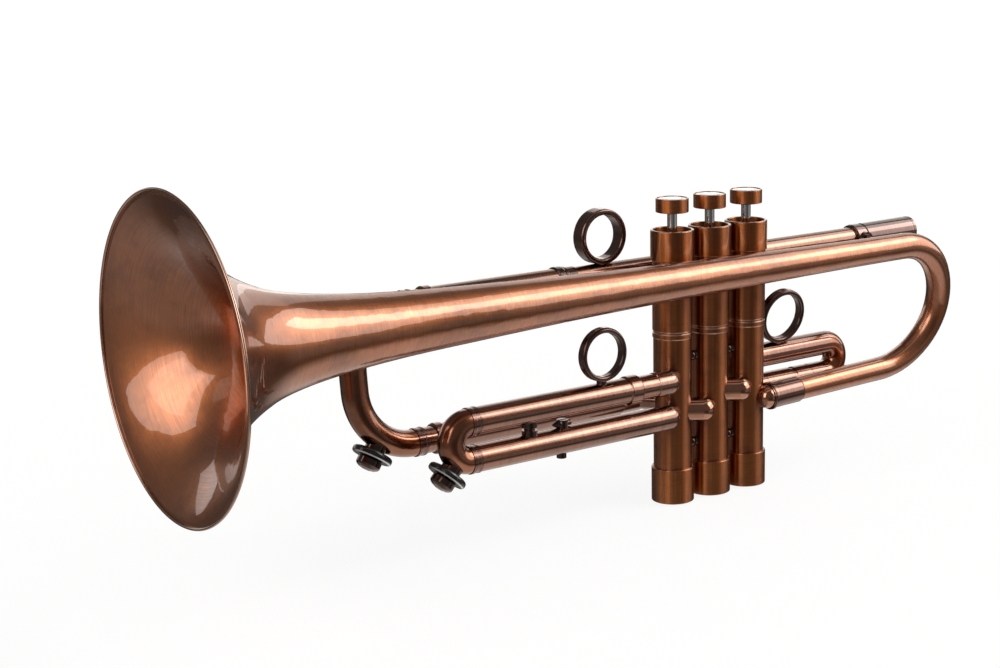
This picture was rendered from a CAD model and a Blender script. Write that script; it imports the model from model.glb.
"""A three-valve brass horn in antique copper, brushed and lacquered, on white paper.

The horn lies along X with the bell towards -X and the player towards +X. The valves
stand upright along Z, and the camera looks from -X, -Y. Units are metres.
"""

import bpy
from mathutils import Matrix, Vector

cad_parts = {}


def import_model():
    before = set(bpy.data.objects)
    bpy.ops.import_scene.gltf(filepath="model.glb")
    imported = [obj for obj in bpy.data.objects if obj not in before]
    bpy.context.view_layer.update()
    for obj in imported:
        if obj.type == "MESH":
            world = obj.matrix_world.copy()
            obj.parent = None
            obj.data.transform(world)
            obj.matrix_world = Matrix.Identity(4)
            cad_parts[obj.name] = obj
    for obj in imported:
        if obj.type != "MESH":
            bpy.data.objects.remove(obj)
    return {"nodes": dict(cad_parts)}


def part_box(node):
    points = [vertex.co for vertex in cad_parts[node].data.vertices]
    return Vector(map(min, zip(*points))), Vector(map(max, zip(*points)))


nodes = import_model()["nodes"]

import math
from functools import cached_property

import bpy
from mathutils import Matrix, Vector

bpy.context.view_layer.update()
scene = bpy.context.scene
VALVES = (1, 2, 3)


# ---------------------------------------------------------------------------
# node helpers
# ---------------------------------------------------------------------------
class Graph:
    """The shader nodes of a material or a world."""

    def __init__(self, owner, output="ShaderNodeOutputMaterial"):
        self.owner = owner
        owner.use_nodes = True
        self.tree = owner.node_tree
        self.tree.nodes.clear()
        self.output = self.tree.nodes.new(output)

    @cached_property
    def place(self):
        """object coordinates"""
        return self.node("ShaderNodeTexCoord").outputs["Object"]

    def put(self, socket, value):
        """link a socket, or set a plain value; colours may leave out their alpha"""
        if isinstance(value, bpy.types.NodeSocket):
            self.tree.links.new(value, socket)
        elif socket.type == "RGBA" and len(value) == 3:
            socket.default_value = (*value, 1.0)
        else:
            socket.default_value = value

    def node(self, kind, inputs=None, **settings):
        node = self.tree.nodes.new(kind)
        for key, value in settings.items():
            setattr(node, key, value)
        for key, value in (inputs or {}).items():
            self.put(node.inputs[key], value)
        return node

    def geometry(self, output):
        return self.node("ShaderNodeNewGeometry").outputs[output]

    def math(self, operation, a, b):
        return self.node("ShaderNodeMath", {0: a, 1: b}, operation=operation).outputs[0]

    def times(self, a, b):
        return self.math("MULTIPLY", a, b)

    def vector(self, operation, *values):
        node = self.node("ShaderNodeVectorMath", dict(enumerate(values)), operation=operation)
        return node.outputs["Value" if operation in ("DOT_PRODUCT", "LENGTH") else "Vector"]

    def separate(self, vector):
        return self.node("ShaderNodeSeparateXYZ", {0: vector}).outputs

    def split(self, vector):
        """x, y and z, each from a node of its own"""
        return [self.separate(vector)[i] for i in range(3)]

    def combine(self, x, y, z):
        return self.node("ShaderNodeCombineXYZ", {0: x, 1: y, 2: z}).outputs[0]

    def stretch(self, vector, factors):
        parts = self.split(vector)
        return self.combine(*[self.times(part, factor) for part, factor in zip(parts, factors)])

    def noise(self, vector, detail, roughness):
        inputs = {"Vector": vector, "Scale": 1.0, "Detail": detail, "Roughness": roughness}
        return self.node("ShaderNodeTexNoise", inputs).outputs["Fac"]

    def grain(self, scale, detail=3.0, roughness=0.5, source=None):
        """noise with a scale for all axes or one for each, on object coordinates by default"""
        factors = scale if isinstance(scale, tuple) else (scale,) * 3
        vector = self.vector("MULTIPLY", source or self.place, factors)
        return self.noise(vector, detail, roughness)

    def fit(self, value, span, to=(0.0, 1.0)):
        """map the range span onto the range to, clamped"""
        inputs = {"Value": value, "From Min": span[0], "From Max": span[1],
                  "To Min": to[0], "To Max": to[1]}
        return self.node("ShaderNodeMapRange", inputs).outputs["Result"]

    def mix(self, factor, a, b):
        return self.node("ShaderNodeMix", {0: factor, 6: a, 7: b}, data_type="RGBA").outputs[2]

    def bump(self, height, strength, distance):
        inputs = {"Strength": strength, "Distance": distance, "Height": height}
        return self.node("ShaderNodeBump", inputs).outputs[0]

    def edges(self, radius):
        """about 1 on sharp outside edges, 0 on smooth faces"""
        rounded = self.node("ShaderNodeBevel", {"Radius": radius}, samples=4).outputs[0]
        agreement = self.vector("DOT_PRODUCT", rounded, self.geometry("Normal"))
        return self.fit(agreement, span=(0.985, 0.93))

    def glow(self, kind, colour, strength):
        return self.node(kind, {"Color": colour, "Strength": strength}).outputs[0]

    def mix_shader(self, factor, a, b):
        return self.node("ShaderNodeMixShader", {0: factor, 1: a, 2: b}).outputs[0]

    def finish(self, shader):
        self.put(self.output.inputs[0], shader)

    def principled(self, **values):
        inputs = {key.replace("_", " "): value for key, value in values.items()}
        self.finish(self.node("ShaderNodeBsdfPrincipled", inputs).outputs[0])


def new_material(name):
    return Graph(bpy.data.materials.new(name))


def centre(piece):
    low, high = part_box(piece)
    return tuple((low[i] + high[i]) / 2 for i in range(3))


def give(piece, graph):
    piece_object = nodes[piece]
    if not piece_object.material_slots:
        piece_object.data.materials.append(graph.owner)
    for slot in piece_object.material_slots:
        slot.material = graph.owner


# ---------------------------------------------------------------------------
# lacquered copper
# ---------------------------------------------------------------------------
def brushed(g, kind, middle):
    """coordinates whose noise makes rings round the axis x, y or z, rings round the
    bell, or an even grain for any other kind"""
    from_middle = g.vector("SUBTRACT", g.place, middle)
    if kind == "any":
        return g.vector("MULTIPLY", from_middle, (300.0, 300.0, 300.0))
    if kind == "bell":
        # x less the radius keeps the rings fine where the flare is steep
        across, round_bell = 1300.0, 2.2
        x, y, z = g.split(from_middle)
        radius = g.vector("LENGTH", g.combine(0.0, y, z))
        along = g.math("SUBTRACT", x, radius)
        turn_y = g.math("DIVIDE", y, radius)
        turn_z = g.math("DIVIDE", z, radius)
        return g.combine(g.times(along, across), g.times(turn_y, round_bell),
                         g.times(turn_z, round_bell))
    return g.stretch(from_middle, [1500.0 if axis == kind else 60.0 for axis in "xyz"])


def lacquer(piece, kind, light, deep, rough, marks, name=None, middle=None,
            coat=0.9, coat_ior=1.6, facing=0.55, wear=0.0, wear_colour=(0.62, 0.40, 0.30),
            edge_radius=0.0004, streaks=0.0, aniso=0.0, beads=()):
    """Copper, brushed as kind says and then lacquered.

    light, deep: the metal and its darker patches    rough: range of roughness
    marks: darkness of the brushing                  facing: darkening at glancing angles
    wear: bare metal on sharp edges                  streaks: polishing lines along Z
    aniso: spread of reflections along Z             beads: heights of bright bands
    """
    g = new_material(name or "lacquer_" + piece)
    middle = middle or centre(piece)
    fine = g.noise(brushed(g, kind, middle), detail=4.0, roughness=0.65)
    broad = g.grain(scale=28.0, roughness=0.55)
    cloud = g.grain(scale=95.0, detail=5.0, roughness=0.6)

    half_deep = [0.62 * a + 0.38 * b for a, b in zip(light, deep)]
    base = g.mix(g.fit(broad, span=(0.32, 0.68)), light, half_deep)
    base = g.mix(g.fit(cloud, span=(0.5, 0.78), to=(0.0, 0.45)), base, deep)
    base = g.mix(g.fit(fine, span=(0.35, 0.75), to=(0.0, marks)), base, deep)
    if streaks:
        from_middle = g.vector("SUBTRACT", g.place, middle)
        lengthwise = g.stretch(from_middle, (900.0, 900.0, 12.0))
        streak = g.noise(lengthwise, detail=3.0, roughness=0.6)
        base = g.mix(g.fit(streak, span=(0.4, 0.75), to=(0.0, streaks)), base, deep)
    # the lacquer looks deeper where it is seen at a glancing angle
    glancing = g.node("ShaderNodeLayerWeight", {"Blend": 0.42}).outputs["Facing"]
    base = g.mix(g.times(glancing, facing), base, deep)
    if wear:
        edge = g.edges(edge_radius)
        chips = g.fit(g.grain(scale=500.0, detail=2.0), span=(0.35, 0.6), to=(0.55, 1.0))
        base = g.mix(g.times(g.times(edge, chips), wear), base, wear_colour)
    for low, high in beads:
        height = g.separate(g.place)[2]
        band = g.times(g.math("GREATER_THAN", height, low), g.math("LESS_THAN", height, high))
        patches = g.grain(scale=(260.0, 260.0, 60.0), detail=2.0)
        worn = g.fit(patches, span=(0.36, 0.52), to=(0.30, 0.92))
        base = g.mix(g.times(band, worn), base, (0.88, 0.66, 0.55))

    roughness = g.math("ADD", g.fit(fine, span=(0.3, 0.7), to=rough),
                       g.fit(cloud, span=(0.45, 0.8), to=(0.0, 0.06)))
    relief = g.math("ADD", g.times(fine, 0.6), g.times(cloud, 0.4))
    waves = g.grain(scale=160.0, detail=2.0)
    turned = {}
    if aniso:
        # rings turned into the metal spread its reflections along the axis of the piece
        turned = dict(Anisotropic=aniso, Tangent=g.combine(0.0, 0.0, 1.0))
    g.principled(Base_Color=base, Metallic=1.0, Roughness=roughness,
                 Coat_Weight=coat, Coat_IOR=coat_ior, Coat_Roughness=0.03,
                 Coat_Tint=(1.0, 0.90, 0.80),
                 Normal=g.bump(relief, strength=0.05, distance=0.00010),
                 Coat_Normal=g.bump(waves, strength=0.05, distance=0.0002), **turned)
    give(piece, g)


def lacquer_all(pieces, kind, **finish):
    for piece in pieces:
        lacquer(piece, kind, **finish)


BELL_MIDDLE = (0.0, -0.0234, 0.1144)
TUBE_DEEP = (0.070, 0.020, 0.009)
FERRULE_ROUGH = (0.15, 0.25)
TUBE = dict(light=(0.40, 0.172, 0.098), deep=TUBE_DEEP, rough=(0.15, 0.26),
            coat_ior=1.82, wear=0.5, marks=0.45)
FIRST_SLIDE = dict(TUBE, light=(0.31, 0.130, 0.075), coat_ior=1.80)
# upright turned pieces: casings, buttons and caps
TURNED = dict(kind="z", deep=(0.070, 0.019, 0.007), coat=0.75, aniso=0.88)
# lower and upper height of each bright band round a casing
BEADS = ((0.08165, 0.08215), (0.08410, 0.08455), (0.08515, 0.08560))

lacquer("bell", "bell", name="bell_lacquer", middle=BELL_MIDDLE,
        light=(0.60, 0.232, 0.098), deep=(0.115, 0.036, 0.016),
        rough=(0.26, 0.37), coat=0.95, coat_ior=1.74, marks=0.42, facing=0.30)
lacquer("bell_rim_wire", "x", name="rim_lacquer", middle=BELL_MIDDLE,
        light=(0.60, 0.42, 0.34), deep=(0.20, 0.09, 0.05),
        rough=(0.18, 0.3), marks=0.3, facing=0.25)
lacquer_all(("leadpipe", "main_sleeve_upper", "main_sleeve_lower", "main_slide_legs",
             "third_slide_inner_tube", "third_slide_outer_tube", "third_slide_sleeve",
             "third_slide_leg", "first_slide_inner_tube"), "x", **TUBE)
lacquer_all(("second_slide_outer_tubes", "second_slide_legs"), "y", **TUBE)
lacquer_all(("first_slide_outer_tube", "first_slide_tubes"), "x", **FIRST_SLIDE)
lacquer_all(("crossover_knuckles", "exit_elbow"), "any",
            light=(0.56, 0.235, 0.120), deep=TUBE_DEEP, rough=(0.10, 0.18),
            coat=1.0, coat_ior=1.85, wear=0.5, marks=0.25, facing=0.35)
lacquer_all(("main_crook", "third_slide_crook", "first_slide_crook", "second_slide_crook"),
            "any", light=(0.44, 0.165, 0.070), deep=TUBE_DEEP, rough=(0.16, 0.27),
            wear=0.4, marks=0.3)
lacquer_all(("bell_ferrule", "main_slide_ferrules", "third_slide_ferrules"), "x",
            light=(0.24, 0.115, 0.085), deep=(0.05, 0.018, 0.012), rough=FERRULE_ROUGH,
            wear=0.7, marks=0.4)
lacquer("mouthpiece_receiver", "x", name="lacquer_receiver",
        light=(0.17, 0.085, 0.068), deep=(0.045, 0.018, 0.012),
        rough=(0.18, 0.28), coat_ior=1.75, wear=0.7, marks=0.4)
for k in VALVES:
    lacquer("valve_casing_%d" % k, light=(0.45, 0.152, 0.044), rough=(0.34, 0.42),
            streaks=0.35, wear=0.95, marks=0.16, facing=0.40, edge_radius=0.0006,
            beads=BEADS, **TURNED)
    lacquer("finger_button_%d" % k, light=(0.56, 0.195, 0.060), rough=(0.32, 0.40),
            streaks=0.35, wear=0.9, marks=0.20, facing=0.6, **TURNED)
lacquer_all(("top_valve_caps", "bottom_valve_caps"), light=(0.56, 0.195, 0.056),
            rough=(0.32, 0.40), streaks=0.4, wear=0.95, marks=0.20, facing=0.6,
            edge_radius=0.0006, **TURNED)
lacquer_all(("third_slide_ring", "little_finger_ring", "first_slide_ring"), "y",
            light=(0.15, 0.068, 0.045), deep=(0.035, 0.014, 0.010), rough=(0.16, 0.28),
            wear=0.8, wear_colour=(0.42, 0.25, 0.18), marks=0.5, facing=0.3)
lacquer_all(("leadpipe_collar", "bell_braces", "casing_struts", "third_slide_brace",
             "third_slide_stop_screw", "second_slide_knob", "water_key_seat_main",
             "water_key_seat_third"), "any",
            light=(0.085, 0.034, 0.022), deep=(0.030, 0.011, 0.007), rough=(0.18, 0.3),
            wear=0.6, wear_colour=(0.35, 0.20, 0.14), marks=0.3, facing=0.2)


# ---------------------------------------------------------------------------
# other finishes
# ---------------------------------------------------------------------------
def metal(piece, name, kind, colour, rough, bump=0.08):
    """bare metal with fine brushing"""
    g = new_material(name)
    fine = g.noise(brushed(g, kind, centre(piece)), detail=4.0, roughness=0.6)
    cloud = g.grain(scale=120.0)
    shade = [channel * 0.72 for channel in colour]
    base = g.mix(g.fit(fine, span=(0.35, 0.75), to=(0.0, 0.5)), colour, shade)
    roughness = g.math("ADD", g.fit(fine, span=(0.3, 0.7), to=(rough, rough + 0.08)),
                       g.fit(cloud, span=(0.4, 0.8), to=(0.0, 0.05)))
    g.principled(Base_Color=base, Metallic=1.0, Roughness=roughness,
                 Normal=g.bump(fine, strength=bump, distance=0.0001))
    give(piece, g)


def pearl(piece, name):
    g = new_material(name)
    flow = g.grain(scale=(420.0, 160.0, 160.0), detail=4.0, roughness=0.6)
    band = g.grain(scale=(90.0, 240.0, 90.0), detail=2.0)
    ramp = g.node("ShaderNodeValToRGB", {0: flow})
    stops = ramp.color_ramp.elements
    stops[0].position, stops[0].color = 0.25, (0.41, 0.45, 0.46, 1.0)
    stops[1].position, stops[1].color = 0.5, (0.54, 0.55, 0.55, 1.0)
    stops.new(0.75).color = (0.66, 0.66, 0.65, 1.0)
    colour = g.mix(g.fit(band, span=(0.4, 0.7), to=(0.0, 0.35)), ramp.outputs["Color"],
                   (0.64, 0.70, 0.70))
    g.principled(Base_Color=colour, Coat_Weight=0.8, Coat_Roughness=0.03,
                 Roughness=g.fit(flow, span=(0.3, 0.7), to=(0.16, 0.26)),
                 Normal=g.bump(flow, strength=0.06, distance=0.0001))
    give(piece, g)


def felt(piece):
    g = new_material("felt")
    fuzz = g.grain(scale=2600.0, detail=4.0, roughness=0.7)
    patches = g.grain(scale=300.0)
    colour = g.mix(g.fit(patches, span=(0.3, 0.7)), (0.030, 0.020, 0.017),
                   (0.062, 0.044, 0.038))
    g.principled(Base_Color=colour, Sheen_Weight=0.5,
                 Roughness=g.fit(fuzz, span=(0.3, 0.7), to=(0.85, 1.0)),
                 Normal=g.bump(fuzz, strength=0.7, distance=0.0003))
    give(piece, g)


def key_ring(piece, axis):
    """black, with a bright line on the outer lower edge; axis points down the ring"""
    g = new_material("key_" + piece)
    from_centre = g.vector("SUBTRACT", g.place, centre(piece))
    drop = g.vector("DOT_PRODUCT", from_centre, axis)
    on_axis = g.vector("MULTIPLY", g.combine(drop, drop, drop), axis)
    radius = g.vector("LENGTH", g.vector("SUBTRACT", from_centre, on_axis))
    line = g.times(g.fit(drop, span=(0.00085, 0.00110)), g.fit(radius, span=(0.0078, 0.0082)))
    line = g.times(line, g.fit(drop, span=(0.00150, 0.00135)))
    grain = g.grain(scale=700.0, roughness=0.6)
    colour = g.mix(g.fit(grain, span=(0.35, 0.7)), (0.005, 0.005, 0.005),
                   (0.013, 0.012, 0.012))
    colour = g.mix(line, colour, (0.72, 0.72, 0.72))
    extra_roughness = 0.0
    roughness = g.math("ADD", g.fit(grain, span=(0.3, 0.7), to=(0.24, 0.34)), extra_roughness)
    g.principled(Base_Color=colour, Metallic=line, Roughness=roughness,
                 Coat_Weight=0.5, Coat_Roughness=0.04,
                 Normal=g.bump(grain, strength=0.08, distance=0.0001))
    give(piece, g)


for k in VALVES:
    metal("valve_stem_%d" % k, "chrome_stem_%d" % k, "z",
          colour=(0.80, 0.80, 0.81), rough=0.06, bump=0.03)
    metal("piston_%d" % k, "nickel_piston_%d" % k, "z", colour=(0.63, 0.60, 0.55), rough=0.22)
    metal("valve_spring_%d" % k, "spring_wire_%d" % k, "any",
          colour=(0.56, 0.57, 0.58), rough=0.25)
metal("valve_guides", "guide_brass", "z", colour=(0.72, 0.55, 0.26), rough=0.25)
for k in VALVES:
    pearl("pearl_inlay_%d" % k, "pearl_%d" % k)
felt("cup_felts")
key_ring("water_key_ring_main", axis=(-0.5664, -0.0926, -0.8189))
key_ring("water_key_ring_third", axis=(-0.6756, 0.0, -0.7373))


# ---------------------------------------------------------------------------
# floor and world
# ---------------------------------------------------------------------------
WHITE = (1, 1, 1, 1)
WHITE_STRENGTH = 1.05   # what the camera sees of the paper and the world


def mirrored_level(g):
    """Brightness of the paper as the metal mirrors it: pale straight below the horn,
    falling off to a dark room towards the horizon on the player's side."""
    incoming = g.separate(g.geometry("Incoming"))
    steep = incoming[2]
    heading = g.vector("NORMALIZE", g.combine(g.times(incoming[0], -1.0),
                                              g.times(incoming[1], -1.0), 0.0))

    def towards(direction, span, to=(0.0, 1.0)):
        return g.fit(g.vector("DOT_PRODUCT", heading, direction), span, to)

    bellward = towards((-1.0, 0.0, 0.0), span=(0.30, 0.75))
    below = g.fit(steep, span=(0.48, 0.66), to=(0.07, 0.80))
    # darker towards +Y
    behind = towards((-0.342, 0.940, 0.0), span=(0.80, 0.95), to=(0.0, 0.35))
    below = g.times(below, g.math("SUBTRACT", 1.0, behind))
    # a low pale strip towards +X, -Y
    strip = g.times(towards((0.707, -0.707, 0.0), span=(0.85, 0.96), to=(0.0, 0.20)),
                    g.fit(steep, span=(0.30, 0.42), to=(1.0, 0.0)))
    side = g.fit(steep, span=(0.20, 0.42), to=(0.16, 0.36))
    bell_part = g.math("ADD", g.times(bellward, side), strip)
    return g.math("ADD", bell_part, g.times(g.math("SUBTRACT", 1.0, bellward), below))


def paper():
    g = new_material("floor_paper")
    grain = g.grain(scale=40.0, source=g.geometry("Position"))
    rays = g.node("ShaderNodeLightPath").outputs
    seen_by_camera = rays["Is Camera Ray"]
    level_place = g.vector("MULTIPLY", g.geometry("Position"), (1.0, 1.0, 0.0))
    distance = g.vector("LENGTH", level_place)
    white = g.mix(g.fit(grain, span=(0.3, 0.7)), (0.90, 0.90, 0.90), (0.94, 0.94, 0.94))
    mottle = g.fit(grain, span=(0.3, 0.7), to=(0.94, 1.06))
    mirror = g.glow("ShaderNodeEmission", (1.0, 0.96, 0.92), g.times(mirrored_level(g), mottle))
    # far paper is darker for all but the camera, which sees it fade to plain white
    far = g.fit(distance, span=(0.9, 2.2))
    colour = g.mix(g.times(far, g.math("SUBTRACT", 1.0, seen_by_camera)), white,
                   (0.30, 0.29, 0.28))
    diffuse = g.node("ShaderNodeBsdfDiffuse", {"Color": colour}).outputs[0]
    plain = g.glow("ShaderNodeEmission", WHITE, WHITE_STRENGTH)
    fade = g.times(seen_by_camera, g.fit(distance, span=(0.3, 1.4), to=(0.84, 1.0)))
    direct = g.mix_shader(fade, diffuse, plain)
    g.finish(g.mix_shader(rays["Is Glossy Ray"], direct, mirror))
    return g.owner


bpy.ops.mesh.primitive_plane_add(size=1.0, location=(0, 0, -0.0005))
floor = bpy.context.object
floor.name = "floor"
floor.scale = (30, 30, 1)
floor.data.materials.append(paper())

# white to the camera, a dim room to everything else
scene.world = bpy.data.worlds.new("studio")
studio = Graph(scene.world, "ShaderNodeOutputWorld")
white_room = studio.glow("ShaderNodeBackground", WHITE, WHITE_STRENGTH)
dim_room = studio.glow("ShaderNodeBackground", (0.9, 0.86, 0.84), 0.15)
camera_ray = studio.node("ShaderNodeLightPath").outputs["Is Camera Ray"]
studio.finish(studio.mix_shader(camera_ray, dim_room, white_room))

# ---------------------------------------------------------------------------
# lights
# ---------------------------------------------------------------------------
AIM = Vector((-0.10, -0.02, 0.10))
# name, azimuth from +X and elevation in degrees, distance from AIM, size, radiance, colour
SOFTBOXES = (
    ("player_box", -25, 27, 3.0, (3.3, 2.8), 2.1, (1.0, 0.965, 0.935)),
    ("player_core", -31, 34, 2.6, (1.7, 0.75), 3.6, (1.0, 0.98, 0.96)),
    ("bell_box", 186, 24, 3.0, (3.3, 2.6), 1.85, (1.0, 0.95, 0.90)),
    ("bell_core", 192, 22, 2.6, (1.9, 1.4), 1.0, (1.0, 0.97, 0.94)),
    ("backdrop", 78, 6, 3.0, (4.5, 0.9), 0.9, (1.0, 0.98, 0.96)),
    ("backdrop_high", 46, 24, 3.0, (2.2, 1.9), 0.75, (1.0, 0.98, 0.96)),
    ("overhead", -90, 78, 2.6, (3.4, 1.6), 0.42, (1.0, 0.96, 0.92)),
)


def softbox(name, azimuth, elevation, distance, size, radiance, colour):
    """a rectangular light of a given radiance, facing AIM"""
    light = bpy.data.lights.new(name, "AREA")
    light.shape = "RECTANGLE"
    light.size, light.size_y = size
    light.energy = radiance * math.pi * size[0] * size[1]
    light.color = colour
    box = bpy.data.objects.new(name, light)
    scene.collection.objects.link(box)
    a, e = math.radians(azimuth), math.radians(elevation)
    outward = Vector((math.cos(e) * math.cos(a), math.cos(e) * math.sin(a), math.sin(e)))
    place = AIM + distance * outward
    box.location = place
    box.rotation_euler = (AIM - place).to_track_quat("-Z", "Y").to_euler()


for row in SOFTBOXES:
    softbox(*row)

# ---------------------------------------------------------------------------
# camera
# ---------------------------------------------------------------------------
HEADING = math.radians(38.211)   # from +Y towards +X
PITCH = math.radians(12.308)     # downwards
ROLL = math.radians(-0.387)

camera = bpy.data.cameras.new("camera")
camera_object = bpy.data.objects.new("camera", camera)
scene.collection.objects.link(camera_object)
view = Vector((math.sin(HEADING) * math.cos(PITCH), math.cos(HEADING) * math.cos(PITCH),
               -math.sin(PITCH)))
level_right = Vector((math.cos(HEADING), -math.sin(HEADING), 0.0))
level_up = level_right.cross(view)
right = math.cos(ROLL) * level_right + math.sin(ROLL) * level_up
up = -math.sin(ROLL) * level_right + math.cos(ROLL) * level_up
pose = Matrix((right, up, -view)).transposed().to_4x4()
pose.translation = Vector((-0.58185, -0.68002, 0.27568))
camera_object.matrix_world = pose
camera.sensor_fit = "HORIZONTAL"
camera.sensor_width = 36.0
camera.lens = 67.032
camera.shift_x = -0.135
camera.shift_y = -0.00115
camera.clip_start = 0.01
camera.clip_end = 60.0
scene.camera = camera_object

scene.view_settings.view_transform = "Standard"
scene.view_settings.look = "None"
scene.view_settings.exposure = 0.0
scene.view_settings.gamma = 1.0

bpy.context.view_layer.update()
